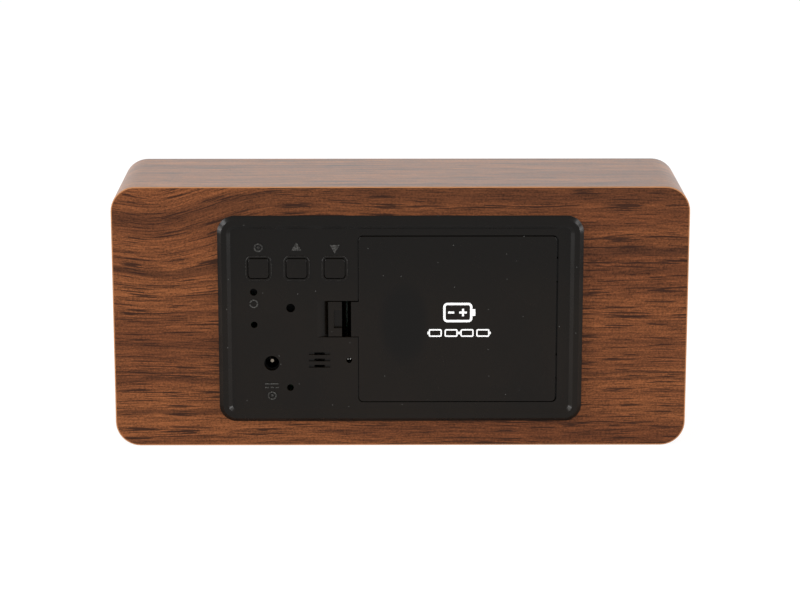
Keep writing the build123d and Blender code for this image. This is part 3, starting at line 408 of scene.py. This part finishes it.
key_finish, shader, _, colour, roughness, grain = moulded_black("key_black", gloss=0.24)
close_finish(shader, colour, roughness, grain, depth=0.003)
dress(key_finish, "set_button", "up_button", "down_button")

latch_finish, shader, _, colour, roughness, grain = moulded_black("latch_black", dust=0.3)
close_finish(shader, colour, roughness, grain, depth=0.004)
dress(latch_finish, "cover_latch")

# %% [markdown]
# The cover is the same moulding with marks of its own: a dull oval where it has been pressed, a small
# round gate mark, and two ejector dots.

# %% Battery cover
cover_finish, shader, (x, y, z), colour, roughness, grain = moulded_black("cover_black", tone=0.0028)
pressed_colour = (0.0012, 0.0007, 0.0003)
gate_place = (-15.5, 22.4)
pressed = ellipse(x, z, (-1.0, 33.5), 6.0, 10.0, edge=0.6)
gate = ellipse(x, z, gate_place, 0.75, 0.75) - ellipse(x, z, gate_place, 0.45, 0.45)
dots = ellipse(x, z, (-30.3, 50.2), 0.28, 0.45) + ellipse(x, z, (-31.1, 15.6), 0.28, 0.45)
colour = mix(pressed * 0.85, colour, pressed_colour)
close_finish(shader, colour, roughness + pressed * 0.06, grain * 0.1 - gate - dots, depth=0.03)
dress(cover_finish, "battery_cover")
print("black mouldings:", sorted(dressed - {"side_wrap", "rear_veneer", "front_veneer", "lit_digits"}))

# %% [markdown]
# Metal parts are plated steel. Drawn or rolled metal has fine lines one way, so the noise is stretched
# along them and moves the roughness; the plating dulls in soft patches.


# %% Plated metal
def plated(name, colour, gloss, lines=(0.3, 0.3, 6.0)):
    """Plated metal with fine lines and soft dull patches."""
    material, shader, x, y, z = start_finish(name, Metallic=1.0)
    drawn = noise(x, y, z, lines, detail=2.0)
    patches = noise(x, y, z, (0.25, 0.25, 0.25), detail=3.0)
    worn = tuple(0.72 * c for c in colour)
    worn_colour = mix(step(patches, 0.45, 0.75), colour, worn)
    close_finish(shader, worn_colour, gloss + drawn * 0.18 + patches * 0.1, drawn, depth=0.004)
    return material


nickel = (0.70, 0.67, 0.61)
zinc = (0.62, 0.63, 0.62)
screws = ("display_screws", "chassis_screws", "panel_screws", "control_screws")
dress(plated("screw_steel", zinc, 0.16), *screws)
dress(plated("contact_nickel", nickel, 0.12), "contact_plates", "socket_contact")
dress(plated("spring_nickel", nickel, 0.10, lines=(4.0, 0.4, 0.4)), "battery_springs")
dress(plated("pin_nickel", (0.26, 0.22, 0.175), 0.22, lines=(5.0, 0.3, 5.0)), "socket_pin")
dress(plated("tinned_wire", (0.80, 0.79, 0.76), 0.10, lines=(5.0, 0.3, 5.0)), "sensor_leads")
dress(plated("crystal_can", (0.74, 0.74, 0.72), 0.10, lines=(0.3, 5.0, 5.0)), "clock_crystal")

# %% [markdown]
# The other inner pieces are small plastic and resin parts. One recipe serves them: a colour that drifts
# a little, a gloss that drifts with it, and a fine moulded grain.


# %% Small plastic parts
def plastic(name, colour, gloss, drift=0.18, depth=0.006, level=0.4):
    """Plastic whose colour and gloss drift a little over the piece."""
    material, shader, x, y, z = start_finish(name, Specular_IOR_Level=level)
    clouds = noise(x, y, z, (0.3, 0.3, 0.3), detail=3.0)
    grain = noise(x, y, z, (6.0, 6.0, 6.0), detail=1.0)
    darker = tuple((1 - drift) * c for c in colour)
    close_finish(shader, mix(clouds, colour, darker), gloss + clouds * 0.14, grain, depth=depth)
    return material


dress(plastic("reflector_white", (0.82, 0.82, 0.79), 0.40), "display_reflector")
dress(plastic("segment_filling", (0.86, 0.85, 0.80), 0.18, drift=0.08), "segment_lenses")
dress(plastic("light_chip", (0.88, 0.78, 0.32), 0.20), "segment_leds")
dress(plastic("chip_black", (0.025, 0.025, 0.026), 0.46), "display_driver", "controller_chip")
dress(plastic("chassis_black", (0.028, 0.028, 0.029), 0.48), "display_chassis")
dress(plastic("lead_black", (0.020, 0.020, 0.021), 0.36), "negative_lead")
dress(plastic("lead_red", (0.50, 0.020, 0.016), 0.36), "positive_lead")
plungers = ("set_plunger", "up_plunger", "down_plunger", "reset_plunger")
dress(plastic("plunger_black", (0.012, 0.012, 0.013), 0.44, level=0.15), *plungers)
switches = ("set_switch", "up_switch", "down_switch", "reset_switch")
dress(plastic("switch_body", (0.050, 0.050, 0.052), 0.42), *switches)
dress(plastic("socket_body", (0.006, 0.006, 0.006), 0.36, level=0.12), "power_socket")
dress(plastic("buzzer_case", (0.030, 0.030, 0.031), 0.38), "buzzer")
dress(plastic("bead_resin", (0.045, 0.030, 0.020), 0.22), "sensor_bead")
dress(plastic("header_white", (0.76, 0.74, 0.66), 0.38), "display_header", "control_header")
print(len(dressed), "pieces dressed so far")

# %% [markdown]
# Four parts carry a pattern that belongs to them: a circuit board has copper tracks under green
# lacquer, a ribbon has ridges, a capacitor has a pale stripe down its sleeve, and fibreboard shows its
# pressed fibres. The tracks follow the contour lines of a noise. It is scaled up to run through many
# whole numbers, and the tracks are where it is near one.

# %% Circuit boards
board, shader, x, y, z = start_finish("board_green", Specular_IOR_Level=0.5)
lacquer = (0.010, 0.105, 0.045)
lacquer_on_copper = (0.030, 0.200, 0.085)
contours = noise(x, y, z, (0.22, 0.0, 0.22), detail=0.0, seed=5.0) * 22.0
lanes = step(abs(contours - contours.math("ROUND", contours)), 0.22, 0.16)
mottle = noise(x, y, z, (1.5, 1.5, 1.5), detail=2.0)
colour = mix(lanes, lacquer, lacquer_on_copper)
close_finish(shader, shade(colour, mottle * 0.4 + 0.8), 0.22 + mottle * 0.12, lanes, depth=0.03)
dress(board, "display_board", "control_board")

# %% Ribbon, capacitor and fibreboard
core_pitch = 1.27
ribbon_edge_x = box_mm("ribbon_cable")[0].x
ribbon, shader, x, y, z = start_finish("ribbon_grey", Specular_IOR_Level=0.35)
turns = x * (2 * math.pi / core_pitch)
ridges = turns.math("COSINE", turns)
edge_core = step(x, ribbon_edge_x + 1.3, ribbon_edge_x + 1.2)
colour = mix(edge_core, (0.33, 0.33, 0.34), (0.45, 0.03, 0.03))
close_finish(shader, colour, 0.42 + ridges * 0.04, ridges, depth=0.12)
dress(ribbon, "ribbon_cable")

capacitor_low, capacitor_high = box_mm("filter_capacitor")
stripe_x = (capacitor_low.x + capacitor_high.x) / 2 + 1.9
capacitor, shader, x, y, z = start_finish("capacitor_sleeve", Specular_IOR_Level=0.5)
stripe = step(x, stripe_x, stripe_x + 0.1)
scuffs = noise(x, y, z, (0.8, 0.8, 0.8), detail=3.0)
colour = mix(stripe, (0.012, 0.020, 0.085), (0.52, 0.56, 0.62))
close_finish(shader, colour, 0.20 + scuffs * 0.15, scuffs, depth=0.01)
dress(capacitor, "filter_capacitor")

fibreboard, shader, x, y, z = start_finish("fibreboard", Specular_IOR_Level=0.25)
pressed_fibres = noise(x, y, z, (1.2, 0.5, 1.2), detail=4.0, roughness=0.7)
colour = mix(step(pressed_fibres, 0.35, 0.68), (0.30, 0.19, 0.105), (0.50, 0.35, 0.21))
close_finish(shader, colour, 0.78 + pressed_fibres * 0.15, pressed_fibres, depth=0.05)
dress(fibreboard, "case_core")
print(len(dressed), "pieces dressed so far")

# %% [markdown]
# The microphone is a small drawn can with a disc of black felt on the face towards its hole. The felt is
# a mask on the distance from the can's axis, and only on that face.

# %% Microphone
can_colour = (0.62, 0.62, 0.61)
felt_colour = (0.004, 0.004, 0.004)
rim_from, rim_to = 0.5, 0.7
can_low, can_high = box_mm("microphone")
can_middle = (can_low + can_high) / 2
can_radius = (can_high.x - can_low.x) / 2
microphone, shader, x, y, z = start_finish("microphone_can", Specular_IOR_Level=0.1)
across, up = x - can_middle.x, z - can_middle.z
felt = step(across * across + up * up, (can_radius - rim_from) ** 2, (can_radius - rim_to) ** 2)
felt = felt * step(y, can_high.y - 0.12, can_high.y - 0.02)
lint = noise(x, y, z, (4.0, 4.0, 4.0), detail=3.0)
colour = mix(felt, can_colour, shade(felt_colour, lint + 0.5))
close_finish(shader, colour, felt * 0.6 + 0.16 + lint * 0.14, lint, depth=0.02, Metallic=1.0 - felt)
dress(microphone, "microphone")
print("microphone can is", round(2 * can_radius, 1), "mm across")

# %% [markdown]
# The four cells lie side by side and point opposite ways in turn. Each has a printed sleeve that stops
# short of its bare steel ends, a pale band near the raised end, and a plus and a minus sign. The masks
# are worked out along the cell, from the end that carries the nub.


# %% Cells
sleeve_blue = (0.030, 0.045, 0.075)
sleeve_grey = (0.62, 0.64, 0.66)
plus_blue = (0.03, 0.04, 0.06)
bare_steel = (0.66, 0.64, 0.60)
sign_line = 0.32
plus_place, plus_reach = 7.8, 1.4
minus_from_end, minus_reach = 6.0, 1.3
widest_nub = 3.0


def cell_finish(name):
    """Dresses one cell in its sleeve; the raised end is the one where the node is a thin nub.

    It returns the way from the raised end into the cell: 1 for +X and -1 for -X.
    """
    low, high = box_mm(name)
    points = np.empty(len(nodes[name].data.vertices) * 3, np.float32)
    nodes[name].data.vertices.foreach_get("co", points)
    points = points.reshape(-1, 3) * 1000
    middle_z = (low.z + high.z) / 2
    at_high_end = np.abs(points[points[:, 0] > high.x - 0.5][:, 2] - middle_z).max()
    nub_x, way = (high.x, -1.0) if at_high_end < widest_nub else (low.x, 1.0)
    material, shader, x, y, z = start_finish(name + "_sleeve", Specular_IOR_Level=0.5)
    along, up = (x - nub_x) * way, z - middle_z
    length = high.x - low.x
    sleeve = step(along, 1.6, 1.7) * step(along, length - 0.7, length - 0.8)
    band = step(along, 5.2, 5.3) * step(along, 10.4, 10.3)
    arms = [(plus_reach, sign_line), (sign_line, plus_reach)]
    level_arm, upright_arm = (bar(along, up, (plus_place, 0.0), *arm) for arm in arms)
    plus = level_arm.math("MAXIMUM", level_arm, upright_arm)
    minus = bar(along, up, (length - minus_from_end, 0.0), minus_reach, sign_line)
    wear = noise(x, y, z, (0.15, 0.6, 0.6), detail=3.0)
    colour = mix(band, sleeve_blue, sleeve_grey)
    colour = mix(plus, colour, plus_blue)
    colour = mix(minus, colour, sleeve_grey)
    colour = mix(sleeve, bare_steel, colour)
    close_finish(shader, colour, 0.20 + wear * 0.16, sleeve, depth=0.06, Metallic=1.0 - sleeve)
    dress(material, name)
    return way


ways = [cell_finish(f"aaa_cell_{number}") for number in (1, 2, 3, 4)]
print("raised ends lie towards", ["-X" if way > 0 else "+X" for way in ways])
print("undressed:", sorted(set(nodes) - dressed) or "none")

# %% [markdown]
# The cover carries a white print. A plain sign does here: one large cell with its plus and minus, and
# below it a row of four small ones. Each line of it is a thin flat section carried along a path. The
# path of a cell's outline is a circle whose four quarters are pushed apart, which makes a rectangle
# with round corners.


# %% Paths and sections for the print
print_thickness = 0.03
print_base_y = box_mm("battery_cover")[1].y


def outline(middle, width, height, corner, count=48):
    """Points of a rounded rectangle: corner times (cos, sin), moved out by what is left of each half."""
    turn = (np.arange(count) + 0.5) * 2 * np.pi / count
    away = np.array([np.cos(turn), np.sin(turn)])
    half = np.array([[width / 2 - corner], [height / 2 - corner]])
    return (away * corner + np.sign(away) * half + np.array(middle)[:, None]).T


def stroke(path, width, closed=False):
    """A flat section carried along a path: each point moves to both sides by half the width, and out.

    The tangent at a point is the step from the point before it to the one after it, and a right angle
    turns it into the side step. The four corners of the section are one row of the grid.
    """
    path = np.array(path, float)
    if closed:
        tangent = np.roll(path, -1, axis=0) - np.roll(path, 1, axis=0)
    else:
        tangent = np.gradient(path, axis=0)
    tangent /= np.linalg.norm(tangent, axis=1, keepdims=True)
    side = np.stack([-tangent[:, 1], tangent[:, 0]], axis=1) * width / 2
    low = np.full(len(path), print_base_y)
    high = low + print_thickness
    rows = [(path + side, low), (path + side, high), (path - side, high), (path - side, low)]
    places = [np.stack([place[:, 0], depth, place[:, 1]], axis=1) for place, depth in rows]
    grid = np.stack(places, axis=1)
    count = len(path)
    steps = np.arange(count if closed else count - 1)
    k = np.arange(4)
    near, far = steps[:, None] * 4, ((steps + 1) % count)[:, None] * 4
    after = (k + 1) % 4
    faces = np.stack([near + k, far + k, far + after, near + after], axis=-1).reshape(-1, 4)
    if not closed:
        faces = np.vstack([faces, [k], [4 * count - 1 - k]])
    return grid.reshape(-1, 3) / 1000, faces


print("the print lies at a depth of", round(print_base_y, 2), "mm")

# %% [markdown]
# The large cell is about 8 mm long, with its nub at the -X end, and the row of small ones is about 16 mm
# long. Both sit in the middle of the cover. The plus is one level stroke and two upright ones that stop
# at it.

# %% White print on the cover
sign_x = -15.3
big_z = 36.2
big_outline = (7.0, 4.6, 0.8)
big_line = 0.62
nub_x, nub_half, nub_line = sign_x - 3.85, 0.9, 0.75
plus_x, plus_half, plus_gap = sign_x - 1.0, 1.0, 0.28
minus_x, minus_half = sign_x + 2.1, 0.8
symbol_line = 0.55
small_z = 30.7
small_pitch = 4.15
small_outline = (3.1, 1.7, 0.3)
small_line = 0.36
small_nub_reach, small_nub_half = 1.86, 0.35

strokes = [stroke(outline((sign_x + 0.35, big_z), *big_outline), big_line, closed=True)]
strokes.append(stroke([(nub_x, big_z - nub_half), (nub_x, big_z + nub_half)], nub_line))
strokes.append(stroke([(plus_x - plus_half, big_z), (plus_x + plus_half, big_z)], symbol_line))
for start, end in ((-plus_half, -plus_gap), (plus_gap, plus_half)):
    strokes.append(stroke([(plus_x, big_z + start), (plus_x, big_z + end)], symbol_line))
strokes.append(stroke([(minus_x - minus_half, big_z), (minus_x + minus_half, big_z)], symbol_line))
for index in range(4):
    cell_x = sign_x + (index - 1.5) * small_pitch
    strokes.append(stroke(outline((cell_x, small_z), *small_outline), small_line, closed=True))
    tip_x = cell_x + (small_nub_reach if index % 2 else -small_nub_reach)
    tip_ends = [(tip_x, small_z - small_nub_half), (tip_x, small_z + small_nub_half)]
    strokes.append(stroke(tip_ends, small_line))

offsets = np.cumsum([0] + [len(points) for points, _ in strokes[:-1]])
points = np.vstack([points for points, _ in strokes])
faces = np.vstack([faces + offset for (_, faces), offset in zip(strokes, offsets)])
mesh = bpy.data.meshes.new("cover_print")
mesh.from_pydata(points.tolist(), [], faces.tolist())
mesh.update()
cover_print = bpy.data.objects.new("cover_print", mesh)
bpy.context.scene.collection.objects.link(cover_print)

ink, shader, x, y, z = start_finish("print_white", Specular_IOR_Level=0.3)
cover_ink = noise(x, y, z, (1.4, 1.4, 1.4), detail=3.0)
colour = mix(cover_ink, (0.94, 0.94, 0.93), (0.86, 0.86, 0.85))
close_finish(shader, colour, 0.45 + cover_ink * 0.1)
mesh.materials.append(ink)
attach(cover_print, "battery_cover")
print("print:", len(strokes), "strokes,", len(faces), "faces")

# %% [markdown]
# The studio is a white floor, two soft boxes, two low strips and an even sky. The boxes stand at both
# sides, above the clock and a little towards the camera: they put glints on bevels that face sideways
# and up. The strips stand near the floor at both sides and draw out bevels that face straight sideways.
# The sky is plain white to the camera and to reflections, and lights the clock at a lower strength, so
# that the boxes model it. The floor is part matt white and, to the camera and in reflections, mostly
# plain white. It stays white far away from the boxes that way, and takes a trace of the clock's shadow.


# %% Floor
white = (1.0, 1.0, 1.0, 1.0)
reach = 6.0
plain_share = 0.8
plain_strength = 1.08
floor_mesh = bpy.data.meshes.new("floor")
corners = [(-reach, -reach, 0.0), (reach, -reach, 0.0), (reach, reach, 0.0), (-reach, reach, 0.0)]
floor_mesh.from_pydata(corners, [], [(0, 1, 2, 3)])
floor = bpy.data.objects.new("floor", floor_mesh)
bpy.context.scene.collection.objects.link(floor)
floor_finish, shader, x, y, z = start_finish(
    "floor_white", Base_Color=(0.93, 0.93, 0.93, 1.0), Roughness=0.9, Specular_IOR_Level=0.0
)


def shown_rays(start):
    """1 for rays of the camera and for rays that a gloss or glass sends, and 0 for those that light."""
    outputs = ("Is Camera Ray", "Is Glossy Ray", "Is Transmission Ray")
    camera_ray, glossy, through = (start.node("ShaderNodeLightPath", output=name) for name in outputs)
    return start.math("MAXIMUM", start.math("MAXIMUM", camera_ray, glossy), through)


def close_surface(blend, output):
    """Links a shader's wire to the Surface of the tree's output node."""
    blend.tree.links.new(blend.socket, blend.tree.nodes[output].inputs["Surface"])


plain = x.node("ShaderNodeEmission", None, {"Color": white, "Strength": plain_strength})
matt = Wire(shader.id_data, shader.outputs["BSDF"])
blend = x.node("ShaderNodeMixShader", None, {0: shown_rays(x) * plain_share, 1: matt, 2: plain})
close_surface(blend, "Material Output")
floor_mesh.materials.append(floor_finish)
print("floor is", 2 * reach, "m wide")


# %% Soft boxes and sky
def soft_box(name, place, aim, width, height, power):
    """A rectangular area lamp at a place, turned towards a point."""
    lamp = bpy.data.lights.new(name, "AREA")
    lamp.shape = "RECTANGLE"
    lamp.size, lamp.size_y = width, height
    lamp.energy = power
    box = bpy.data.objects.new(name, lamp)
    bpy.context.scene.collection.objects.link(box)
    box.location = place
    box.rotation_mode = "QUATERNION"
    box.rotation_quaternion = (Vector(aim) - Vector(place)).to_track_quat("-Z", "Y")


clock_middle = (0.0, 0.0, 0.035)
soft_box("box_left", (1.12, 0.36, 0.74), clock_middle, 0.40, 0.40, 11.0)
soft_box("box_right", (-1.12, 0.36, 0.74), clock_middle, 0.40, 0.40, 7.5)
soft_box("strip_left", (0.80, 0.20, 0.11), clock_middle, 0.50, 0.20, 4.0)
soft_box("strip_right", (-0.80, 0.20, 0.11), clock_middle, 0.50, 0.20, 4.0)

sky_strength = 0.6
world = bpy.data.worlds.new("sky")
world.use_nodes = True
bpy.context.scene.world = world
sky = Wire(world.node_tree)
lighting = sky.node("ShaderNodeBackground", None, {"Color": white, "Strength": sky_strength})
backdrop = sky.node("ShaderNodeBackground", None, {"Color": white, "Strength": 1.0})
blend = sky.node("ShaderNodeMixShader", None, {0: shown_rays(sky), 1: lighting, 2: backdrop})
close_surface(blend, "World Output")
bpy.context.scene.view_settings.view_transform = "Standard"
print("sky and", len(bpy.data.lights), "lamps")
